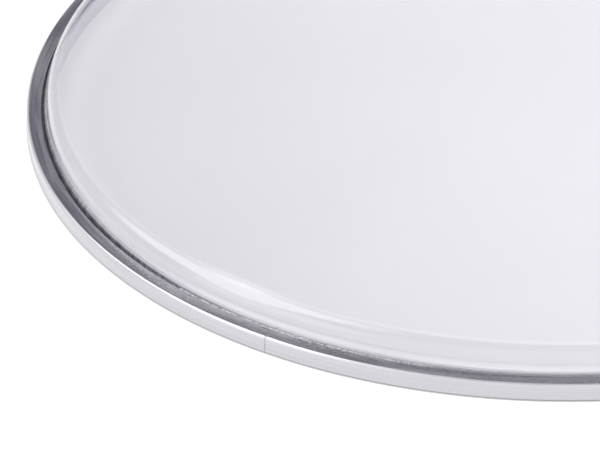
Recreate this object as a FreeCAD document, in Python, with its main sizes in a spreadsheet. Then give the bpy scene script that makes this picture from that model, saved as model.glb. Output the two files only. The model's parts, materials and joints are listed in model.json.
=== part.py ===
"""A clear 14 inch drum head: a moulded film cast in resin into a rolled aluminium channel hoop.

Millimetres, +Z up the head's axis, origin at the middle of the plane that the hoop rests on.
The hoop's butt joint faces -Y. Every piece is turned about the axis, so an outline is drawn in
the XZ plane, where x is the radius and z the height.
"""

import FreeCAD
import Part
import Sketcher

import os
from enum import IntEnum
from types import SimpleNamespace

# Driving dimensions
DIMENSIONS = {
    # aluminium channel hoop
    "hoop_outer_radius": 185.5,
    "hoop_height": 6.3,
    "hoop_wall": 1.0,
    "top_corner_radius": 0.95,
    "bottom_corner_radius": 0.5,
    "flange_width": 5.15,
    "flange_lip_radius": 0.25,
    "inner_leg_drop": 0.1,
    # butt joint where the rolled strip's two ends meet
    "seam_gap": 0.25,
    "weld_recess": 0.08,
    # moulded film
    "film_thickness": 0.3,
    "slot_gap": 0.8,
    "leg_clearance": 0.8,
    "skirt_clearance": 0.8,
    "collar_inset": 1.25,
    "flare_height": 2.8,
    "collar_straight": 0.3,
    "crown_radius": 5.4,
    # holes punched through the film's skirt, which the resin locks into
    "keyhole_radius": 0.9,
    "keyhole_rise": 2.2,
    "keyhole_count": 24,
    # the resin's level below the underside of the hoop's top flange
    "resin_drop": 0.3,
}

# Resin that stands in the slot: degrees from the seam to its start, and its arc. The first is the
# long run beside the seam, and the others are short beads.
FLASH_ARCS = [(-13.0, 31.0), (41.0, 1.2), (78.0, 1.9), (125.0, 0.8), (167.0, 1.5), (216.0, 1.0), (251.0, 2.1)]
SEAM_AZIMUTH = 270


class Spot(IntEnum):
    """A point of a sketch element: either end of a line or an arc, or the middle of a circle."""

    START = 1
    END = 2
    MIDDLE = 3


class Size:
    """A dimension: its number now, and the expression that ties it to the sheet."""

    def __init__(self, number, text):
        self.number = number
        self.text = text

    def __add__(self, other):
        other = as_size(other)
        return Size(self.number + other.number, f"({self.text} + {other.text})")

    def __sub__(self, other):
        other = as_size(other)
        return Size(self.number - other.number, f"({self.text} - {other.text})")

    def __mul__(self, other):
        other = as_size(other)
        return Size(self.number * other.number, f"({self.text} * {other.text})")

    def __truediv__(self, other):
        other = as_size(other)
        return Size(self.number / other.number, f"({self.text} / {other.text})")


def as_size(thing):
    return thing if isinstance(thing, Size) else Size(thing, str(thing))


doc = FreeCAD.newDocument("drum_head")
sheet = doc.addObject("Spreadsheet::Sheet", "sizes")
for row, (alias, number) in enumerate(DIMENSIONS.items(), start=1):
    sheet.set(f"A{row}", alias)
    sheet.set(f"B{row}", str(number))
    sheet.setAlias(f"B{row}", alias)
doc.recompute()
dim = SimpleNamespace(**{alias: Size(number, f"sizes.{alias}") for alias, number in DIMENSIONS.items()})
ZERO = as_size(0)

# Radii and heights that follow from the driving dimensions. Inwards from the hoop's outside come the
# flange, the slot, the film's skirt, a clearance and the hoop's inner leg, so these set its width.
wall_face = dim.hoop_outer_radius - dim.hoop_wall
slot_radius = dim.hoop_outer_radius - dim.flange_width
skirt_radius = slot_radius - dim.slot_gap
skirt_inside = skirt_radius - dim.film_thickness
leg_face = skirt_inside - dim.leg_clearance
bore_radius = leg_face - dim.hoop_wall
hoop_width = dim.hoop_outer_radius - bore_radius
flange_underside = dim.hoop_height - dim.hoop_wall
leg_top = dim.hoop_height - dim.inner_leg_drop
resin_level = flange_underside - dim.resin_drop
skirt_foot = dim.hoop_wall + dim.skirt_clearance
collar_radius = skirt_radius - dim.collar_inset
collar_inside = collar_radius - dim.film_thickness
flare_top = dim.hoop_height + dim.flare_height
crown_foot = flare_top + dim.collar_straight
crown_top = crown_foot + dim.crown_radius
crown_underside = crown_top - dim.film_thickness
crown_edge = collar_radius - dim.crown_radius


def tie(item, path, size):
    item.setExpression(path, size.text)


def vector(x, z):
    return FreeCAD.Vector(x.number, z.number, 0)


def turned_to(axis, degrees):
    """A placement at the origin, turned about one axis."""
    return FreeCAD.Placement(FreeCAD.Vector(), FreeCAD.Rotation(FreeCAD.Vector(*axis), degrees))


def point_rules(geometry, position, x, z):
    """Constraints that tie one point of a sketch element to a radius and a height."""
    rules = []
    for kind, axis, size in (("DistanceX", -2, x), ("DistanceY", -1, z)):
        if size is ZERO:
            rules.append((Sketcher.Constraint("PointOnObject", geometry, position, axis), None))
        else:
            rules.append((Sketcher.Constraint(kind, -1, 1, geometry, position, size.number), size))
    return rules


def radius_rule(geometry, radius):
    return Sketcher.Constraint("Radius", geometry, radius.number), radius


def constrain(sketch, rules):
    """Adds the constraints, and ties each one that has a size to the sheet."""
    indexes = sketch.addConstraint([rule for rule, _ in rules])
    for index, (_, size) in zip(indexes, rules):
        if size is not None:
            tie(sketch, f"Constraints[{index}]", size)


def draw_outline(sketch, corners):
    """Draws a closed outline. A corner is (x, z), reached by a straight line from the one before,
    or (x, z, radius, centre x, centre z, turn), reached by an arc that turns "left" or "right"."""
    edges = []
    for number, corner in enumerate(corners):
        before = vector(*corners[number - 1][:2])
        here = vector(*corner[:2])
        if len(corner) == 2:
            index = sketch.addGeometry(Part.LineSegment(before, here), False)
            edges.append((index, Spot.START, Spot.END))
            continue
        radius, centre_x, centre_z, turn = corner[2:]
        circle = Part.Circle(vector(centre_x, centre_z), FreeCAD.Vector(0, 0, 1), radius.number)
        first, last = (before, here) if turn == "left" else (here, before)
        arc = Part.ArcOfCircle(circle, circle.parameter(first), circle.parameter(last))
        index = sketch.addGeometry(arc, False)
        ends = (Spot.START, Spot.END) if turn == "left" else (Spot.END, Spot.START)
        edges.append((index, *ends))
    rules = []
    for number, ((index, _, finish), corner) in enumerate(zip(edges, corners)):
        following, begin, _ = edges[(number + 1) % len(edges)]
        rules.append((Sketcher.Constraint("Coincident", index, finish, following, begin), None))
        rules += point_rules(index, finish, *corner[:2])
        if len(corner) > 2:
            rules.append(radius_rule(index, corner[2]))
    constrain(sketch, rules)


def origin_item(body, role):
    return next(item for item in body.Origin.OriginFeatures if item.Role == role)


def upright_sketch(body, name, plane="XZ_Plane"):
    """A sketch in one of the body's own upright planes."""
    sketch = body.newObject("Sketcher::SketchObject", name)
    sketch.AttachmentSupport = [(origin_item(body, plane), "")]
    sketch.MapMode = "FlatFace"
    return sketch


def turned_body(name, corners):
    """A body turned a full turn about the head's axis from an outline."""
    body = doc.addObject("PartDesign::Body", name)
    sketch = upright_sketch(body, name + "_outline")
    draw_outline(sketch, corners)
    turn = body.newObject("PartDesign::Revolution", name + "_turn")
    turn.Profile = sketch
    turn.ReferenceAxis = (sketch, ["V_Axis"])
    turn.Angle = 360
    doc.recompute()
    return body


def channel_section(inset):
    """The hoop's channel, open beside the film, with the faces that show drawn in by an inset."""
    foot = inset
    outside = dim.hoop_outer_radius - inset
    inside = bore_radius + inset
    top = dim.hoop_height - inset
    slot = slot_radius + inset
    leg = leg_top - inset
    low = foot + dim.bottom_corner_radius
    shoulder = top - dim.top_corner_radius
    lip = top - dim.flange_lip_radius
    outer_heel = outside - dim.bottom_corner_radius
    inner_heel = inside + dim.bottom_corner_radius
    top_edge = outside - dim.top_corner_radius
    lip_edge = slot + dim.flange_lip_radius
    return [
        (outer_heel, foot),
        (outside, low, dim.bottom_corner_radius, outer_heel, low, "left"),
        (outside, shoulder),
        (top_edge, top, dim.top_corner_radius, top_edge, shoulder, "left"),
        (lip_edge, top),
        (slot, lip, dim.flange_lip_radius, lip_edge, lip, "left"),
        (slot, flange_underside),
        (wall_face, flange_underside),
        (wall_face, dim.hoop_wall),
        (leg_face, dim.hoop_wall),
        (leg_face, leg),
        (inside, leg),
        (inside, low),
        (inner_heel, foot, dim.bottom_corner_radius, inner_heel, low, "left"),
    ]


def film_section():
    """The film from its skirt in the channel, by the flare and the crown, to the middle of the head.
    The flare is two equal arcs, bent opposite ways, that meet halfway."""
    inset, height, thickness = dim.collar_inset, dim.flare_height, dim.film_thickness
    bend = (height * height + inset * inset) / (inset * 4)
    lean = as_size(1) - inset / (bend * 2)
    rise = height / (bend * 2)
    skirt_centre = skirt_radius - bend
    collar_centre = collar_radius + bend
    middle_radius = skirt_radius - inset / 2
    middle_height = dim.hoop_height + height / 2
    inner_radius = middle_radius - thickness * lean
    inner_height = middle_height - thickness * rise
    return [
        (skirt_inside, skirt_foot),
        (skirt_radius, skirt_foot),
        (skirt_radius, dim.hoop_height),
        (middle_radius, middle_height, bend, skirt_centre, dim.hoop_height, "left"),
        (collar_radius, flare_top, bend, collar_centre, flare_top, "right"),
        (collar_radius, crown_foot),
        (crown_edge, crown_top, dim.crown_radius, crown_edge, crown_foot, "left"),
        (ZERO, crown_top),
        (ZERO, crown_underside),
        (crown_edge, crown_underside),
        (collar_inside, crown_foot, dim.crown_radius - thickness, crown_edge, crown_foot, "right"),
        (collar_inside, flare_top),
        (inner_radius, inner_height, bend + thickness, collar_centre, flare_top, "left"),
        (skirt_inside, dim.hoop_height, bend - thickness, skirt_centre, dim.hoop_height, "right"),
    ]


def punch_keyholes(body):
    """Punches a ring of round holes through the film's skirt. The first lies half a step from +X,
    where the turned faces begin and end, so that no hole crosses that line."""
    unpunched = body.Shape.Volume
    half_step = as_size(180) / dim.keyhole_count
    clear_radius = skirt_radius + dim.film_thickness
    sketch = upright_sketch(body, "keyhole_outline", "YZ_Plane")
    sketch.AttachmentOffset = turned_to((0, 1, 0), half_step.number)
    tie(sketch, "AttachmentOffset.Rotation.Angle", half_step)
    sketch.setExpression("AttachmentOffset.Base.x", f"{clear_radius.text} * sin({half_step.text})")
    sketch.setExpression("AttachmentOffset.Base.z", f"{clear_radius.text} * cos({half_step.text})")
    height = dim.hoop_wall + dim.keyhole_rise
    circle = Part.Circle(vector(ZERO, height), FreeCAD.Vector(0, 0, 1), dim.keyhole_radius.number)
    index = sketch.addGeometry(circle, False)
    constrain(sketch, point_rules(index, Spot.MIDDLE, ZERO, height) + [radius_rule(index, dim.keyhole_radius)])
    punch = body.newObject("PartDesign::Pocket", "keyhole")
    punch.Profile = sketch
    tie(punch, "Length", dim.film_thickness * 4)
    doc.recompute()
    ring = body.newObject("PartDesign::PolarPattern", "keyhole_ring")
    ring.Originals = [punch]
    ring.Axis = (origin_item(body, "Z_Axis"), [""])
    ring.Angle = 360
    tie(ring, "Occurrences", dim.keyhole_count)
    body.Tip = ring
    doc.recompute()
    hole = 3 * dim.keyhole_radius.number ** 2 * dim.film_thickness.number
    if unpunched - body.Shape.Volume < hole * dim.keyhole_count.number:
        raise RuntimeError("the keyholes don't cut the film")


def seam_slab():
    """A thin upright slab across the hoop's section at the butt joint."""
    slab = doc.addObject("Part::Box", "seam_slab")
    margin = dim.hoop_wall
    tie(slab, "Length", dim.seam_gap)
    tie(slab, "Width", hoop_width + margin * 2)
    tie(slab, "Height", dim.hoop_height + margin * 2)
    tie(slab, "Placement.Base.x", ZERO - dim.seam_gap / 2)
    tie(slab, "Placement.Base.y", ZERO - dim.hoop_outer_radius - margin)
    tie(slab, "Placement.Base.z", ZERO - margin)
    doc.recompute()
    return slab


def joined(kind, name, base, tool):
    made = doc.addObject(kind, name)
    made.Base = base
    made.Tool = tool
    doc.recompute()
    return made


def flash_beads(name):
    """Domed runs of resin that fill the slot between the hoop's flange and the film."""
    outline = doc.addObject("Sketcher::SketchObject", "bead_outline")
    outline.Placement = turned_to((1, 0, 0), 90)
    rise = dim.slot_gap / 4
    dome_radius = (dim.slot_gap * dim.slot_gap / 4 + rise * rise) / (rise * 2)
    shoulder = dim.hoop_height - dim.flange_lip_radius
    dome_centre = shoulder + rise - dome_radius
    middle = skirt_radius + dim.slot_gap / 2
    corners = [
        (slot_radius, resin_level),
        (slot_radius, shoulder),
        (skirt_radius, shoulder, dome_radius, middle, dome_centre, "left"),
        (skirt_radius, resin_level),
    ]
    draw_outline(outline, corners)
    beads = []
    for number, (start, arc) in enumerate(FLASH_ARCS, start=1):
        bead = doc.addObject("Part::Revolution", f"bead_{number}")
        bead.Source = outline
        bead.Axis = FreeCAD.Vector(0, 0, 1)
        bead.Angle = arc
        bead.Solid = True
        bead.Placement = turned_to((0, 0, 1), SEAM_AZIMUTH + start)
        beads.append(bead)
    group = doc.addObject("Part::Compound", name)
    group.Links = beads
    doc.recompute()
    return group


# Hoop and the weld at its butt joint
slab = seam_slab()
hoop = joined("Part::Cut", "channel_hoop", turned_body("hoop_ring", channel_section(ZERO)), slab)
weld_ring = turned_body("weld_ring", channel_section(dim.weld_recess))
weld = joined("Part::Common", "hoop_seam_weld", weld_ring, slab)

# Film
film = turned_body("drum_film", film_section())
punch_keyholes(film)

# Resin: the inside of the channel less the film, so that it fills the keyholes too
inside_corners = [
    (wall_face, dim.hoop_wall),
    (wall_face, resin_level),
    (leg_face, resin_level),
    (leg_face, dim.hoop_wall),
]
resin = joined("Part::Cut", "resin_ring", turned_body("channel_inside", inside_corners), film)
flash = flash_beads("resin_flash")

# Checks, then one file for each piece
pieces = [hoop, weld, film, resin, flash]
doc.recompute()
failed = [item.Name for item in doc.Objects if "Invalid" in item.State or "Error" in item.State]
failed += [item.Name for item in pieces if item.Shape.isNull() or not item.Shape.isValid()]
if failed:
    raise RuntimeError(f"these objects failed: {failed}")
os.makedirs("parts", exist_ok=True)
for piece in pieces:
    piece.Shape.exportStep(f"parts/{piece.Label}.step")
    box = piece.Shape.BoundBox
    print(
        f"{piece.Label}: {len(piece.Shape.Solids)} solids, {piece.Shape.Volume:.1f} mm3,"
        f" to x {box.XMax:.2f}, z {box.ZMin:.2f} to {box.ZMax:.2f}"
    )
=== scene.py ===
"""Looks of a clear drum head: moulded film, satin aluminium channel hoop, cast resin in its slot.

Metres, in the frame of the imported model: +Z up the head's axis, the hoop's seam towards -Y.
"""

import json
import math

import bpy
import numpy as np
from mathutils import Matrix, Vector


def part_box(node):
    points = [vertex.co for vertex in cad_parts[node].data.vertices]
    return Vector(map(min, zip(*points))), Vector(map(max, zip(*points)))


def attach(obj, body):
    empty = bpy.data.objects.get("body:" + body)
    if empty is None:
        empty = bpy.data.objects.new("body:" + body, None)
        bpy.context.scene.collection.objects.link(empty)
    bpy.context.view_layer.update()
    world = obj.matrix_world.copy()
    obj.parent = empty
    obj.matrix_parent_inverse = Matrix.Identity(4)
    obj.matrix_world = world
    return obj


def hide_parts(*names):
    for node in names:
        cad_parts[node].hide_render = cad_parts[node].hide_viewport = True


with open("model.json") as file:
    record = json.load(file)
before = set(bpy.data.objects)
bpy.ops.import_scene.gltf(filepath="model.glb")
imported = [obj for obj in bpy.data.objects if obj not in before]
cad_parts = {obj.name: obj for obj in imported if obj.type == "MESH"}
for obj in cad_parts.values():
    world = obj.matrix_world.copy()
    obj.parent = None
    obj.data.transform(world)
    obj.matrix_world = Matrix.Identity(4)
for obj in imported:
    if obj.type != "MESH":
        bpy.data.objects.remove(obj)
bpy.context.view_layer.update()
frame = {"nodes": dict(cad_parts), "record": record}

MM = 0.001
WHITE = (1.0, 1.0, 1.0)
BLACK = (0.0, 0.0, 0.0)

# Sizes read from the frame
hoop_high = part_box("channel_hoop")[1]
film_low, film_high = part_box("drum_film")
HOOP_RADIUS = hoop_high.x
HOOP_HEIGHT = hoop_high.z
SKIRT_RADIUS = film_high.x
SKIRT_FOOT = film_low.z
FILM_TOP = film_high.z
shell_seat = next(mount for mount in frame["record"]["mounts"] if mount["name"] == "shell_seat")
BORE_RADIUS = shell_seat["dims"]["r_mm"] * MM

# Sizes of the section
HOOP_WALL = 1.0 * MM
TOP_CORNER = 0.95 * MM
BOTTOM_CORNER = 0.5 * MM
FLANGE_LIP = 0.25 * MM
LEG_DROP = 0.1 * MM
LEG_EDGE = 0.2 * MM
SLOT_GAP = 0.8 * MM
FILM_THICKNESS = 0.3 * MM
COLLAR_INSET = 1.25 * MM
FLARE_HEIGHT = 2.8 * MM
CROWN_RADIUS = 5.4 * MM
RESIN_LEVEL = 5.0 * MM
SEAM_GAP = 0.25 * MM
SLOT_RADIUS = SKIRT_RADIUS + SLOT_GAP
COLLAR_RADIUS = SKIRT_RADIUS - COLLAR_INSET
SEAM_AZIMUTH = math.radians(270)


# Node helpers


def add(tree, kind, inputs=None, **settings):
    """Adds a node. An input that is a socket is linked, and any other is set."""
    node = tree.nodes.new(kind)
    for name, setting in settings.items():
        setattr(node, name, setting)
    for socket, value in (inputs or {}).items():
        if isinstance(value, bpy.types.NodeSocket):
            tree.links.new(value, node.inputs[socket])
        else:
            node.inputs[socket].default_value = value
    return node


def maths(tree, operation, *values):
    return add(tree, "ShaderNodeMath", dict(enumerate(values)), operation=operation).outputs[0]


def product(tree, *factors):
    result = factors[0]
    for factor in factors[1:]:
        result = maths(tree, "MULTIPLY", result, factor)
    return result


def total(tree, *terms):
    result = terms[0]
    for term in terms[1:]:
        result = maths(tree, "ADD", result, term)
    return result


def fade(tree, value, low, high, start=0.0, end=1.0):
    """A smooth step of a value from start at low to end at high."""
    inputs = {"Value": value, "From Min": low, "From Max": high, "To Min": start, "To Max": end}
    return add(tree, "ShaderNodeMapRange", inputs, interpolation_type="SMOOTHSTEP").outputs["Result"]


def fade_by_degrees(tree, angle, limits, start=0.0, end=1.0):
    low, high = limits
    return fade(tree, angle, math.radians(low), math.radians(high), start, end)


def noise(tree, vector, scale, detail=3.0, roughness=0.5):
    inputs = {"Vector": vector, "Scale": scale, "Detail": detail, "Roughness": roughness}
    return add(tree, "ShaderNodeTexNoise", inputs).outputs["Fac"]


# Sockets of a mix node that carry its colours
MIX_FIRST = 6
MIX_SECOND = 7
MIX_RESULT = 2


def blend_colours(tree, factor, first, second):
    node = add(tree, "ShaderNodeMix", {0: factor}, data_type="RGBA")
    for index, colour in ((MIX_FIRST, first), (MIX_SECOND, second)):
        if isinstance(colour, bpy.types.NodeSocket):
            tree.links.new(colour, node.inputs[index])
        else:
            node.inputs[index].default_value = (*colour, 1)
    return node.outputs[MIX_RESULT]


def dot(tree, vector, direction):
    inputs = {0: vector, 1: direction}
    return add(tree, "ShaderNodeVectorMath", inputs, operation="DOT_PRODUCT").outputs["Value"]


def bumps(tree, height, strength, distance):
    inputs = {"Height": height, "Strength": strength, "Distance": distance}
    return add(tree, "ShaderNodeBump", inputs).outputs["Normal"]


def part_place(tree):
    return add(tree, "ShaderNodeTexCoord").outputs["Object"]


def places(tree):
    """Sockets for a point of the part: its place, angle from the seam, radius and height."""
    place = part_place(tree)
    x, y, z = add(tree, "ShaderNodeSeparateXYZ", {"Vector": place}).outputs
    angle = maths(tree, "ARCTAN2", x, product(tree, y, -1.0))
    square = total(tree, product(tree, x, x), product(tree, y, y))
    return place, angle, maths(tree, "SQRT", square), z


def roll_noise(tree, spot, along, across, detail, roughness=0.5):
    """Noise that is long around the hoop and fine across its faces."""
    place, _, radius, height = spot
    x, y, _ = add(tree, "ShaderNodeSeparateXYZ", {"Vector": place}).outputs
    inputs = {
        "X": product(tree, x, along),
        "Y": product(tree, y, along),
        "Z": product(tree, total(tree, radius, height), across),
    }
    vector = add(tree, "ShaderNodeCombineXYZ", inputs).outputs["Vector"]
    return noise(tree, vector, 1.0, detail, roughness)


def new_material(name):
    material = bpy.data.materials.new(name)
    material.use_nodes = True
    tree = material.node_tree
    tree.nodes.clear()
    return material, tree


def set_surface(tree, shader):
    add(tree, "ShaderNodeOutputMaterial", {"Surface": shader})


def set_principled(tree, inputs):
    set_surface(tree, add(tree, "ShaderNodeBsdfPrincipled", inputs).outputs["BSDF"])


# Hoop material

ROLL_TONES = ((0.51, 0.505, 0.54), (0.585, 0.58, 0.605))
CLOUD_TONE = (0.56, 0.56, 0.61)
CLOUD_SHARE = 0.35
SCRATCH_TONE = (0.82, 0.82, 0.83)
SCRATCH_SHARE = 0.25
SMEAR_TONE = (0.74, 0.74, 0.76)
SMEAR_SHARE = 0.45
OUTER_DARKENING_TONE = (0.34, 0.345, 0.36)
OUTER_DARKENING_SHARE = 0.6
FOOT_SHADE = 0.28
# The inner leg's paler tone, a painted light for the shaded channel seen through the film
LEG_PAINTED_LIGHT_TONE = (0.83, 0.825, 0.85)
SATIN_ROUGHNESS = (0.2, 0.34)
SMEAR_ROUGHNESS = 0.22
LEG_ROUGHNESS = 0.25
GRAIN_RELIEF = 0.35
SCRATCH_RELIEF = -0.5
# Degrees from the seam over which the part of the flange by the seam sets in and ends
BY_SEAM_START = (-13, -5)
BY_SEAM_END = (9, 17)
# Radii between which the flange goes from smeared to darker
SMEAR_EDGE = (SLOT_RADIUS + 0.5 * MM, SLOT_RADIUS + 3.2 * MM)


def aluminium():
    """Rolled satin aluminium with long fine roll lines and faint scratches.

    Near the seam the flange is smeared with resin beside the slot and darker further out. The wall is
    shaded at its foot. The inner leg is painted paler, a painted light in the shaded channel seen through
    the film, and its face in the channel is not metallic.
    """
    material, tree = new_material("satin_aluminium")
    spot = places(tree)
    place, angle, radius, height = spot
    roll = roll_noise(tree, spot, along=18.0, across=3800.0, detail=4.0, roughness=0.6)
    coarse_roll = roll_noise(tree, spot, along=30.0, across=700.0, detail=2.0)
    cloud = noise(tree, place, scale=55.0, detail=4.0, roughness=0.6)
    grain = noise(tree, place, scale=5200.0, detail=2.0)
    scratch_lines = roll_noise(tree, spot, along=160.0, across=1500.0, detail=6.0, roughness=0.75)
    scratches = fade(tree, scratch_lines, 0.66, 0.72)
    patch_lines = roll_noise(tree, spot, along=130.0, across=420.0, detail=5.0, roughness=0.65)
    patches = fade(tree, patch_lines, 0.42, 0.66)

    by_seam = product(
        tree,
        fade_by_degrees(tree, angle, BY_SEAM_START),
        fade_by_degrees(tree, angle, BY_SEAM_END, start=1.0, end=0.0),
        fade(tree, height, HOOP_HEIGHT - 0.15 * MM, HOOP_HEIGHT - 0.02 * MM),
    )
    by_slot = fade(tree, radius, *SMEAR_EDGE, start=1.0, end=0.0)
    smear = product(tree, by_seam, patches, by_slot)
    # Darker towards the flange's outer edge near the seam
    outer_darkening = product(tree, by_seam, fade(tree, radius, *SMEAR_EDGE, end=OUTER_DARKENING_SHARE))
    foot_shade = fade(tree, height, 0.3 * MM, 0.7 * MM, start=FOOT_SHADE, end=0.0)
    leg_face = BORE_RADIUS + HOOP_WALL
    on_leg = fade(tree, radius, leg_face, leg_face + 0.2 * HOOP_WALL, start=1.0, end=0.0)
    # The leg's face in the channel, not metallic so that the painted light of its pale tone shows
    leg_channel_face = fade(tree, radius, leg_face - 0.4 * HOOP_WALL, leg_face - 0.1 * HOOP_WALL)

    tone = blend_colours(tree, fade(tree, roll, 0.3, 0.7), *ROLL_TONES)
    tone = blend_colours(tree, fade(tree, cloud, 0.45, 0.75, end=CLOUD_SHARE), tone, CLOUD_TONE)
    tone = blend_colours(tree, product(tree, scratches, SCRATCH_SHARE), tone, SCRATCH_TONE)
    tone = blend_colours(tree, product(tree, smear, SMEAR_SHARE), tone, SMEAR_TONE)
    tone = blend_colours(tree, outer_darkening, tone, OUTER_DARKENING_TONE)
    tone = blend_colours(tree, foot_shade, tone, BLACK)
    # Painted light: the paler leg brightens the shaded channel seen through the film
    tone = blend_colours(tree, on_leg, tone, LEG_PAINTED_LIGHT_TONE)
    satin = fade(tree, coarse_roll, 0.25, 0.75, *SATIN_ROUGHNESS)
    smear_rough = product(tree, smear, SMEAR_ROUGHNESS)
    rough = total(tree, satin, smear_rough, product(tree, on_leg, LEG_ROUGHNESS))
    metallic = maths(tree, "SUBTRACT", 1.0, product(tree, on_leg, leg_channel_face))
    grain_relief = product(tree, grain, GRAIN_RELIEF)
    relief = total(tree, roll, grain_relief, product(tree, scratches, SCRATCH_RELIEF))
    normal = bumps(tree, relief, strength=0.28, distance=0.02 * MM)
    set_principled(tree, {"Base Color": tone, "Metallic": metallic, "Roughness": rough, "Normal": normal})
    return material


# Weld material

WELD_TONES = ((0.36, 0.36, 0.38), (0.62, 0.62, 0.64))


def weld_metal():
    """The weld: rougher than the hoop, and darkened in its pits."""
    material, tree = new_material("seam_weld")
    pits = noise(tree, part_place(tree), scale=3400.0, detail=5.0, roughness=0.7)
    tone = blend_colours(tree, fade(tree, pits, 0.35, 0.65), *WELD_TONES)
    rough = fade(tree, pits, 0.3, 0.7, start=0.65, end=0.4)
    normal = bumps(tree, pits, strength=0.6, distance=0.08 * MM)
    set_principled(tree, {"Base Color": tone, "Metallic": 1.0, "Roughness": rough, "Normal": normal})
    return material


# Film material

FILM_TONES = ((0.96, 0.957, 0.972), (0.97, 0.967, 0.98))
# The crown's greyer tint, a painted shade for the shaded floor seen through it
CROWN_SHADE_TONE = (0.872, 0.869, 0.884)
# How much less of the crown's painted shade the flare has
FLARE_CUT = 0.6
# Darker tint and gloss for the flare where it is seen edge on, a painted shade
EDGE_ON_SHADE_TONE = (0.34, 0.336, 0.358)
EDGE_ON_SHADE_GLOSS_TONE = (0.34, 0.34, 0.358)
HAZE_TONES = ((0.84, 0.84, 0.88), (0.93, 0.93, 0.95))
FAINT_HAZE = (0.006, 0.016)
CROWN_HAZE = 0.12
FAR_FOOT_HAZE = 0.55
FRONT_FOOT_HAZE = 0.2
HEAD_ON_GLOSS = 0.048
GLANCING_GLOSS = 0.95
GLANCING_POWER = 5.0
TICKS_PER_RADIAN = 110.0
# Degrees from the seam over which the flare goes from milky to its painted edge-on shade
EDGE_SHADE_START = (-75, -62)


def clear_film():
    """Clear polyester, faintly lavender, and glossy by the angle it is seen at.

    The crown's greyer tint is a painted shade, and it is hazy where it is seen at a slant. The flare is
    painted dark where it is seen edge on, a painted shade on its tint and gloss with the real fine
    upright ticks in it, and its foot is milky, most of all on the side without that painted shade.
    """
    material, tree = new_material("clear_film")
    place, angle, radius, height = places(tree)
    cloud = noise(tree, place, scale=7.0, detail=2.0)
    dust = noise(tree, place, scale=2600.0, detail=3.0, roughness=0.7)
    ripple = noise(tree, place, scale=38.0, detail=2.0)
    around = add(tree, "ShaderNodeCombineXYZ", {"X": product(tree, angle, TICKS_PER_RADIAN)})
    tick_lines = noise(tree, around.outputs["Vector"], scale=1.0, detail=2.0)
    facing = add(tree, "ShaderNodeLayerWeight", {"Blend": 0.5}).outputs["Facing"]

    crown = fade(tree, radius, COLLAR_RADIUS - 4.9 * MM, COLLAR_RADIUS - 3.1 * MM)
    flare = fade(tree, height, HOOP_HEIGHT + 0.4 * MM, HOOP_HEIGHT + 2.6 * MM, start=1.0, end=0.0)
    foot = fade(tree, height, HOOP_HEIGHT - 0.2 * MM, HOOP_HEIGHT + 1.2 * MM, start=1.0, end=0.0)
    above_flare = maths(tree, "SUBTRACT", crown, product(tree, flare, FLARE_CUT))
    ticks = fade(tree, tick_lines, 0.42, 0.58, start=0.55, end=1.0)
    slant = fade(tree, facing, 0.25, 0.6)
    # Painted shade on the flare where it is seen edge on, broken by the real moulded ticks
    edge_on_shade = product(tree, flare, slant, ticks, fade_by_degrees(tree, angle, EDGE_SHADE_START))

    tint = blend_colours(tree, fade(tree, cloud, 0.3, 0.7), *FILM_TONES)
    # Painted shade: the crown's greyer tint
    tint = blend_colours(tree, above_flare, tint, CROWN_SHADE_TONE)
    tint = blend_colours(tree, edge_on_shade, tint, EDGE_ON_SHADE_TONE)
    through = add(tree, "ShaderNodeBsdfTransparent", {"Color": tint})

    gloss_tone = blend_colours(tree, edge_on_shade, WHITE, EDGE_ON_SHADE_GLOSS_TONE)
    rough = fade(tree, dust, 0.35, 0.75, start=0.04, end=0.09)
    normal = bumps(tree, ripple, strength=0.12, distance=0.3 * MM)
    gloss_inputs = {"Color": gloss_tone, "Roughness": rough, "Normal": normal}
    gloss = add(tree, "ShaderNodeBsdfAnisotropic", gloss_inputs)
    glancing = maths(tree, "POWER", facing, GLANCING_POWER)
    gloss_share = maths(tree, "MULTIPLY_ADD", glancing, GLANCING_GLOSS, HEAD_ON_GLOSS)

    haze = add(tree, "ShaderNodeBsdfDiffuse", {"Color": blend_colours(tree, dust, *HAZE_TONES)})
    faint = fade(tree, cloud, 0.3, 0.8, *FAINT_HAZE)
    milky_crown = product(tree, above_flare, fade(tree, facing, 0.45, 0.8, end=CROWN_HAZE))
    far_milk = fade_by_degrees(tree, angle, EDGE_SHADE_START, start=FAR_FOOT_HAZE, end=0.0)
    front_milk = fade(tree, facing, 0.25, 0.45, start=FRONT_FOOT_HAZE, end=0.0)
    milky_foot = product(tree, foot, maths(tree, "MAXIMUM", far_milk, front_milk))
    haze_share = total(tree, faint, milky_crown, milky_foot)

    hazy = add(tree, "ShaderNodeMixShader", {0: haze_share, 1: through.outputs[0], 2: haze.outputs[0]})
    mixed = add(tree, "ShaderNodeMixShader", {0: gloss_share, 1: hazy.outputs[0], 2: gloss.outputs[0]})
    set_surface(tree, mixed.outputs[0])
    return material


# Resin materials

# Dark tones, a painted shade for the resin in the slot, and a pale tone, a painted light inside the skirt
CAST_SHADE_TONES = ((0.06, 0.06, 0.07), (0.13, 0.13, 0.14))
INNER_CAST_LIGHT_TONE = (0.8, 0.8, 0.82)
GLASSY_TONES = ((0.16, 0.16, 0.17), (0.97, 0.97, 0.98))


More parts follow.
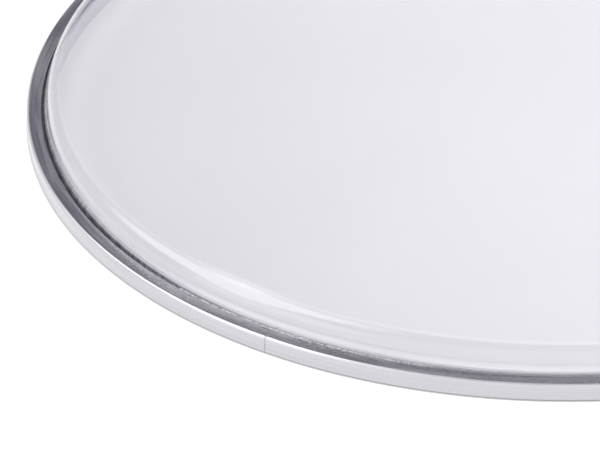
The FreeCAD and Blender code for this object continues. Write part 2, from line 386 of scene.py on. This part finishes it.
def cast_resin():
    """The resin in the channel, a little cloudy: dark grey, a painted shade in the slot, and pale
    inside the film's skirt, a painted light.
    """
    material, tree = new_material("cast_resin")
    place, _, radius, _ = places(tree)
    cloud = noise(tree, place, scale=260.0, detail=4.0, roughness=0.6)
    bubbles = noise(tree, place, scale=1900.0, detail=2.0)
    inside = fade(tree, radius, SKIRT_RADIUS - FILM_THICKNESS, SKIRT_RADIUS, start=1.0, end=0.0)
    # Painted shade: dark grey resin in the slot
    tone = blend_colours(tree, fade(tree, cloud, 0.3, 0.7), *CAST_SHADE_TONES)
    # Painted light: pale resin inside the film's skirt
    tone = blend_colours(tree, inside, tone, INNER_CAST_LIGHT_TONE)
    rough = fade(tree, bubbles, 0.3, 0.7, start=0.14, end=0.32)
    normal = bumps(tree, bubbles, strength=0.3, distance=0.06 * MM)
    set_principled(tree, {"Base Color": tone, "Roughness": rough, "IOR": 1.54, "Normal": normal})
    return material


def glassy_resin():
    """Resin that ran into the slot and set there: bright and lumpy, partly clear, with dark specks."""
    material, tree = new_material("glassy_resin")
    lumps = noise(tree, part_place(tree), scale=1300.0, detail=4.0, roughness=0.65)
    inputs = {
        "Base Color": blend_colours(tree, fade(tree, lumps, 0.4, 0.56), *GLASSY_TONES),
        "Roughness": fade(tree, lumps, 0.3, 0.7, start=0.05, end=0.22),
        "IOR": 1.52,
        "Transmission Weight": 0.3,
        "Normal": bumps(tree, lumps, strength=0.7, distance=0.12 * MM),
    }
    set_principled(tree, inputs)
    return material


# Floor material

FLOOR_TONES = ((0.28, 0.28, 0.28), (0.32, 0.32, 0.32))
UNDER_TONE = (0.68, 0.68, 0.68)
# The glow under the film from its dim side to its bright one, and the way it brightens
GLOW_UNDER = (0.115, 0.33)
GLOW_DIRECTION = (math.cos(math.radians(51)), math.sin(math.radians(51)), 0.0)
GLOW_BY_LEG = 0.15
# The glow at the hoop's foot and past the narrow shade there
GLOW_BESIDE = (0.38, 0.85)
SHADE_WIDTH = 0.7 * MM


def studio_floor():
    """A white floor that glows around the head, and less under it, where the film's tone shows.

    The glow under the film is uneven and rises a little beside the hoop's inner leg.
    """
    material, tree = new_material("studio_floor")
    place, _, radius, _ = places(tree)
    grain = noise(tree, place, scale=900.0, detail=2.0)
    under = fade(tree, radius, BORE_RADIUS, HOOP_RADIUS - HOOP_WALL, start=1.0, end=0.0)
    along = dot(tree, place, GLOW_DIRECTION)
    uneven = fade(tree, along, -1.3 * HOOP_RADIUS, 0.5 * HOOP_RADIUS, *GLOW_UNDER)
    by_leg = fade(tree, radius, 0.86 * HOOP_RADIUS, BORE_RADIUS, end=GLOW_BY_LEG)
    beside = fade(tree, radius, HOOP_RADIUS, HOOP_RADIUS + SHADE_WIDTH, *GLOW_BESIDE)
    glows = {"Factor": under, "A": beside, "B": total(tree, uneven, by_leg)}
    tone = blend_colours(tree, grain, *FLOOR_TONES)
    inputs = {
        "Base Color": blend_colours(tree, under, tone, UNDER_TONE),
        "Roughness": 0.85,
        "Emission Color": (*WHITE, 1),
        "Emission Strength": add(tree, "ShaderNodeMix", glows).outputs["Result"],
    }
    set_principled(tree, inputs)
    return material


# Mesh helpers


def arc(centre, radius, start, end, steps):
    """Points (r, z) of an arc between two angles in degrees, both ends included."""
    angles = np.radians(np.linspace(start, end, steps + 1))
    return [(centre[0] + radius * math.cos(a), centre[1] + radius * math.sin(a)) for a in angles]


def run(start, end, steps, ends=False):
    """Points (r, z) evenly between two points, with or without both ends."""
    shares = [step / steps for step in (range(steps + 1) if ends else range(1, steps))]
    return [(start[0] + (end[0] - start[0]) * s, start[1] + (end[1] - start[1]) * s) for s in shares]


def new_piece(name, vertices, faces, material):
    """A smoothly shaded object."""
    mesh = bpy.data.meshes.new(name)
    mesh.from_pydata([tuple(v) for v in vertices], [], faces)
    mesh.polygons.foreach_set("use_smooth", [True] * len(mesh.polygons))
    mesh.materials.append(material)
    mesh.update()
    piece = bpy.data.objects.new(name, mesh)
    bpy.context.collection.objects.link(piece)
    return piece


def ring_points(section, azimuths):
    """Vertices of a section turned to each azimuth, one whole section after another."""
    section = np.array(section)
    radii = np.broadcast_to(section[:, 0], (len(azimuths), len(section)))
    heights = np.broadcast_to(section[:, 1], radii.shape)
    cosines, sines = np.cos(azimuths)[:, None], np.sin(azimuths)[:, None]
    return np.stack([radii * cosines, radii * sines, heights], axis=2)


def outward(azimuths):
    """The horizontal direction away from the axis at each azimuth, to go with ring_points."""
    return np.stack([np.cos(azimuths), np.sin(azimuths)], axis=1)[:, None, :]


def skin_faces(columns, rows, closed_columns, closed_rows, offset=0):
    """Quads over a grid of vertices numbered column by column."""
    faces = []
    for column in range(columns if closed_columns else columns - 1):
        here = offset + column * rows
        after = offset + (column + 1) % columns * rows
        for row in range(rows if closed_rows else rows - 1):
            above = (row + 1) % rows
            faces.append((here + row, after + row, after + above, here + above))
    return faces


def end_faces(columns, rows, offset=0):
    """The two faces that close the ends of an open run of closed sections."""
    last = offset + (columns - 1) * rows
    return [tuple(range(offset, offset + rows))[::-1], tuple(range(last, last + rows))]


# Hoop

HOOP_COLUMNS = 800
# Distances from each end of the hoop, in mm, that have a column of their own
END_COLUMNS = (0.0, 0.1, 0.25, 0.5, 1.0, 2.0, 4.0)
# The angle from each end to the evenly spaced columns
END_ARC = math.radians(2)
# How far the hoop's ends stand out of line, and the length over which they bend to it
EARLY_END_INSET = 0.09 * MM
EARLY_END_DROP = 0.06 * MM
LATE_END_INSET = 0.02 * MM
END_BEND_LENGTH = 5.0 * MM
# From a rounded edge to the first point on the flat beside it
EDGE_HOLD = 0.06 * MM


def hoop_section():
    """The channel's outline, counter-clockwise from its underside, with rounded edges."""
    flange_under = HOOP_HEIGHT - HOOP_WALL
    leg_top = HOOP_HEIGHT - LEG_DROP
    leg_face = BORE_RADIUS + HOOP_WALL
    wall_face = HOOP_RADIUS - HOOP_WALL
    heel = (HOOP_RADIUS - BOTTOM_CORNER, BOTTOM_CORNER)
    shoulder = (HOOP_RADIUS - TOP_CORNER, HOOP_HEIGHT - TOP_CORNER)
    lip = (SLOT_RADIUS + FLANGE_LIP, HOOP_HEIGHT - FLANGE_LIP)
    toe = (BORE_RADIUS + BOTTOM_CORNER, BOTTOM_CORNER)
    points = arc(heel, BOTTOM_CORNER, -90, 0, 6)
    points += run((HOOP_RADIUS, heel[1] + EDGE_HOLD), (HOOP_RADIUS, shoulder[1] - EDGE_HOLD), 8, True)
    points += arc(shoulder, TOP_CORNER, 0, 90, 12)
    points += run((shoulder[0] - EDGE_HOLD, HOOP_HEIGHT), (lip[0] + EDGE_HOLD, HOOP_HEIGHT), 8, True)
    points += arc(lip, FLANGE_LIP, 90, 180, 5)
    points += [(SLOT_RADIUS, flange_under), (wall_face, flange_under)]
    points += [(wall_face, HOOP_WALL), (leg_face, HOOP_WALL)]
    points += arc((leg_face - LEG_EDGE, leg_top - LEG_EDGE), LEG_EDGE, 0, 90, 3)
    points += arc((BORE_RADIUS + LEG_EDGE, leg_top - LEG_EDGE), LEG_EDGE, 90, 180, 3)
    points += run(points[-1], (BORE_RADIUS, toe[1]), 4)
    points += arc(toe, BOTTOM_CORNER, 180, 270, 6)
    points += run(points[-1], (heel[0], 0.0), 6)
    return points


def make_hoop(material):
    """The rolled channel, open at its seam, whose two ends don't quite line up."""
    section = hoop_section()
    first = SEAM_GAP / 2 / HOOP_RADIUS
    last = math.tau - first
    near_ends = np.array(END_COLUMNS) * MM / HOOP_RADIUS
    middle = np.linspace(first + END_ARC, last - END_ARC, HOOP_COLUMNS)
    turns = np.concatenate([first + near_ends, middle, (last - near_ends)[::-1]])
    points = ring_points(section, SEAM_AZIMUTH + turns)
    radial = outward(SEAM_AZIMUTH + turns)
    early = np.exp(-(turns - first) * HOOP_RADIUS / END_BEND_LENGTH)[:, None]
    late = np.exp(-(last - turns) * HOOP_RADIUS / END_BEND_LENGTH)[:, None]
    inset = early * EARLY_END_INSET + late * LATE_END_INSET
    points[:, :, :2] -= radial * inset[:, :, None]
    points[:, :, 2] -= np.where(points[:, :, 2] > HOOP_HEIGHT / 2, early * EARLY_END_DROP, 0.0)
    faces = skin_faces(len(turns), len(section), False, True)
    faces += end_faces(len(turns), len(section))
    return new_piece("channel_band", points.reshape(-1, 3), faces, material)


# Film

FILM_COLUMNS = 1080
# Steps along each half of the flare and along the crown, on the film's outer and inner face
OUTER_STEPS = (7, 16)
INNER_STEPS = (4, 9)
# Radii of the rings in the flat playing area, in mm
FLAT_RINGS = (172.4, 171.9, 171.4, 170.5, 168, 160, 140, 110, 75, 40, 15)
DRAW_LINE_HEIGHT = 0.05 * MM
DRAW_LINE_SEED = 11
# A flat spot on the crown: degrees from the seam to its middle, half its arc in degrees, its depth, the
# radius where it starts, and a power that moves its deepest ring outwards
SPOT_MIDDLE = -5.5
SPOT_HALF_ARC = 5.5
SPOT_DEPTH = 0.85 * MM
SPOT_INNER_RADIUS = 171.3 * MM
SPOT_POWER = 1.3


def film_surface(depth, flare_steps, crown_steps):
    """The film's section at a depth below its outer face, from the skirt's foot towards the axis,
    with each point's share of the moulded draw lines."""
    bend = (FLARE_HEIGHT**2 + COLLAR_INSET**2) / (4 * COLLAR_INSET)
    sweep = math.degrees(math.asin(FLARE_HEIGHT / (2 * bend)))
    skirt = SKIRT_RADIUS - depth
    low_centre = (SKIRT_RADIUS - bend, HOOP_HEIGHT)
    high_centre = (COLLAR_RADIUS + bend, HOOP_HEIGHT + FLARE_HEIGHT)
    crown_centre = (COLLAR_RADIUS - CROWN_RADIUS, FILM_TOP - CROWN_RADIUS)
    below = [(skirt, SKIRT_FOOT)] + run((skirt, SKIRT_FOOT), (skirt, HOOP_HEIGHT), 3)
    flare = arc(low_centre, bend - depth, 0, sweep, flare_steps)
    flare += arc(high_centre, bend + depth, 180 + sweep, 180, flare_steps)[1:]
    above = arc(crown_centre, CROWN_RADIUS - depth, 0, 90, crown_steps)
    above += [(ring * MM, FILM_TOP - depth) for ring in FLAT_RINGS]
    flare_shares = [math.sin(math.pi * number / (len(flare) - 1)) for number in range(len(flare))]
    shares = [0.0] * len(below) + flare_shares + [0.0] * len(above)
    return below + flare + above, np.array(shares)


def draw_lines(turns):
    """How far each column of the flare stands out: fine uneven lines left by the moulding."""
    generator = np.random.default_rng(DRAW_LINE_SEED)
    signs = np.where(np.arange(FILM_COLUMNS) % 2 == 0, 1.0, -1.0)
    sizes = generator.uniform(0.2, 1.0, FILM_COLUMNS)
    swell = 0.65 + 0.2 * np.sin(3 * turns + 0.6) + 0.15 * np.sin(11 * turns + 2.1)
    return signs * sizes * swell * DRAW_LINE_HEIGHT


def flat_spot(radii, turns):
    """How far the crown is pressed down at each column and each radius."""
    reach = COLLAR_RADIUS - SPOT_INNER_RADIUS
    share = np.clip((np.array(radii) - SPOT_INNER_RADIUS) / reach, 0.0, 1.0)
    across = np.sin(math.pi * share**SPOT_POWER)
    degrees = np.degrees(turns - SEAM_AZIMUTH)
    degrees = (degrees + 180) % 360 - 180
    around = np.exp(-(((degrees - SPOT_MIDDLE) / SPOT_HALF_ARC) ** 2))
    return SPOT_DEPTH * around[:, None] * across[None, :]


def make_film(material):
    """The film's outer and inner face, each closed at the axis, and joined at the skirt's foot."""
    turns = np.arange(FILM_COLUMNS) / FILM_COLUMNS * math.tau
    radial = outward(turns)
    lines = draw_lines(turns)
    vertices = []
    faces = []
    starts = []
    counts = []
    for depth, steps in ((0.0, OUTER_STEPS), (FILM_THICKNESS, INNER_STEPS)):
        section, shares = film_surface(depth, *steps)
        points = ring_points(section, turns)
        points[:, :, :2] += radial * (lines[:, None] * shares[None, :])[:, :, None]
        pressed = flat_spot([radius for radius, _ in section], turns)
        points[:, :, 2] -= np.where(points[:, :, 2] > FILM_TOP - CROWN_RADIUS, pressed, 0.0)
        starts.append(len(vertices))
        counts.append(len(section))
        sheet = skin_faces(FILM_COLUMNS, len(section), True, False, len(vertices))
        faces += sheet if depth == 0 else [face[::-1] for face in sheet]
        vertices += list(points.reshape(-1, 3))
        vertices.append((0.0, 0.0, FILM_TOP - depth))
        pole = len(vertices) - 1
        for column in range(FILM_COLUMNS):
            here = starts[-1] + column * counts[-1] + counts[-1] - 1
            after = starts[-1] + (column + 1) % FILM_COLUMNS * counts[-1] + counts[-1] - 1
            faces.append((here, after, pole) if depth == 0 else (after, here, pole))
    for column in range(FILM_COLUMNS):
        after = (column + 1) % FILM_COLUMNS
        outer, outer_after = starts[0] + column * counts[0], starts[0] + after * counts[0]
        inner, inner_after = starts[1] + column * counts[1], starts[1] + after * counts[1]
        faces.append((inner, inner_after, outer_after, outer))
    return new_piece("moulded_film", vertices, faces, material)


# Resin in the slot

# Degrees from the seam to where each run of resin starts, and its arc
FLASH_ARCS = (
    (-13.0, 31.0),
    (41.0, 1.2),
    (78.0, 1.9),
    (125.0, 0.8),
    (167.0, 1.5),
    (216.0, 1.0),
    (251.0, 2.1),
)
# Degrees from the seam to the middle of each lump on the long run, and its arc
LUMPS = (
    (-9.4, 1.9),
    (-6.2, 0.9),
    (-3.3, 0.6),
    (0.5, 2.4),
    (3.4, 0.7),
    (8.1, 1.3),
    (12.9, 0.6),
    (15.6, 0.5),
)
RESIN_SEED = 5
RESIN_STEPS = 8
COLUMNS_PER_DEGREE = 14
FEWEST_COLUMNS = 14
DOME_HEIGHT = 0.12 * MM
LUMP_HEIGHT = 0.3 * MM
ROUGH_HEIGHT = 0.05 * MM
# Degrees over which a run slopes down to its end, and the share of its height that is left there
TAPER_ARC = 0.25
END_SHARE = 0.55


def make_resin_runs(material):
    """Runs of resin along the slot, with a lumpy top that stands proud where it was spilt."""
    generator = np.random.default_rng(RESIN_SEED)
    across = np.linspace(SKIRT_RADIUS, SLOT_RADIUS, RESIN_STEPS + 1)
    dome = np.sin(np.linspace(0, math.pi, RESIN_STEPS + 1))
    rows = RESIN_STEPS + 3
    vertices = []
    faces = []
    for start, sweep in FLASH_ARCS:
        columns = max(FEWEST_COLUMNS, int(sweep * COLUMNS_PER_DEGREE))
        degrees = np.linspace(start, start + sweep, columns)
        rough = generator.uniform(-1, 1, (columns, RESIN_STEPS + 1)) * ROUGH_HEIGHT
        swell = sum(np.exp(-(((degrees - middle) / (size / 2)) ** 2)) for middle, size in LUMPS)
        crumb = generator.uniform(0.2, 1.0, columns)
        to_end = np.minimum(degrees - start, start + sweep - degrees)
        taper = np.clip(to_end / TAPER_ARC, 0.0, 1.0) ** 0.5
        azimuths = SEAM_AZIMUTH + np.radians(degrees)
        offset = len(vertices)
        for column in range(columns):
            stand = DOME_HEIGHT + rough[column] + LUMP_HEIGHT * swell[column] * crumb[column]
            height = HOOP_HEIGHT - FLANGE_LIP + stand * dome
            height = RESIN_LEVEL + (height - RESIN_LEVEL) * (END_SHARE + (1 - END_SHARE) * taper[column])
            top = list(zip(across[::-1], height[::-1]))
            section = [(SLOT_RADIUS, RESIN_LEVEL)] + top + [(SKIRT_RADIUS, RESIN_LEVEL)]
            cosine, sine = math.cos(azimuths[column]), math.sin(azimuths[column])
            vertices += [(radius * cosine, radius * sine, level) for radius, level in section]
        faces += skin_faces(columns, rows, False, True, offset)
        faces += end_faces(columns, rows, offset)
    return new_piece("slot_resin", vertices, faces, material)


# Pieces
hoop = make_hoop(aluminium())
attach(hoop, "root")
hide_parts("channel_hoop")

film = make_film(clear_film())
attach(film, "root")
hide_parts("drum_film")

resin = make_resin_runs(glassy_resin())
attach(resin, "root")
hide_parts("resin_flash")

for node, material in (("hoop_seam_weld", weld_metal()), ("resin_ring", cast_resin())):
    mesh = frame["nodes"][node].data
    mesh.materials.clear()
    mesh.materials.append(material)

# Studio floor
FLOOR_HALF = 6.0
FLOOR_LEVEL = -0.02 * MM
floor_sides = ((-1, -1), (1, -1), (1, 1), (-1, 1))
floor_corners = [(x * FLOOR_HALF, y * FLOOR_HALF, FLOOR_LEVEL) for x, y in floor_sides]
floor = new_piece("studio_floor", floor_corners, [(0, 1, 2, 3)], studio_floor())

# Studio light

HORIZON = WHITE
OVERHEAD = (0.86, 0.86, 0.88)
# Azimuth and elevation, the half angles of the even middle and of the faded edge, and the radiance
FRONT_LIGHT = (300, 25, 25, 50, (1.35, 1.35, 1.35))
BACKDROP = (122, 32, 9, 20, (0.185, 0.18, 0.22))
LOW_LIGHT = (238, 20, 16, 26, (1.9, 1.9, 1.93))
SOFT_LIGHT = (196, 51, 12, 28, (3.3, 3.3, 3.35))


def studio_world():
    """Pale surroundings with a broad light in front, a dark backdrop, a low light and a soft high one."""
    world = bpy.data.worlds.new("studio")
    world.use_nodes = True
    tree = world.node_tree
    tree.nodes.clear()
    direction = add(tree, "ShaderNodeTexCoord").outputs["Generated"]
    rise = add(tree, "ShaderNodeSeparateXYZ", {"Vector": direction}).outputs["Z"]
    light = blend_colours(tree, fade(tree, rise, 0.0, 0.6), HORIZON, OVERHEAD)
    for azimuth, elevation, core, rim, radiance in (FRONT_LIGHT, BACKDROP, LOW_LIGHT, SOFT_LIGHT):
        turn, climb = math.radians(azimuth), math.radians(elevation)
        towards = (math.cos(turn) * math.cos(climb), math.sin(turn) * math.cos(climb), math.sin(climb))
        nearness = dot(tree, direction, towards)
        share = fade(tree, nearness, math.cos(math.radians(rim)), math.cos(math.radians(core)))
        light = blend_colours(tree, share, light, radiance)
    background = add(tree, "ShaderNodeBackground", {"Color": light, "Strength": 1.0})
    add(tree, "ShaderNodeOutputWorld", {"Surface": background.outputs["Background"]})
    bpy.context.scene.world = world


studio_world()

# Camera: a long lens, low enough to see the hoop's wall under the flange
CAMERA_PLACE = Vector((4.092046, -7.087632, 4.828051)) * HOOP_RADIUS
CAMERA_HEADING, CAMERA_PITCH, CAMERA_ROLL = 33.4045, 31.8902, -0.7916
LENS_MM = 300
SENSOR_WIDTH_MM = 36
camera_data = bpy.data.cameras.new("camera")
camera_data.lens = LENS_MM
camera_data.sensor_width = SENSOR_WIDTH_MM
camera = bpy.data.objects.new("camera", camera_data)
turn = Matrix.Rotation(math.radians(CAMERA_HEADING), 4, "Z")
tilt = Matrix.Rotation(math.radians(90 - CAMERA_PITCH), 4, "X")
roll = Matrix.Rotation(math.radians(CAMERA_ROLL), 4, "Z")
camera.matrix_world = Matrix.Translation(CAMERA_PLACE) @ turn @ tilt @ roll
bpy.context.collection.objects.link(camera)
scene = bpy.context.scene
scene.camera = camera
scene.view_settings.view_transform = "Standard"
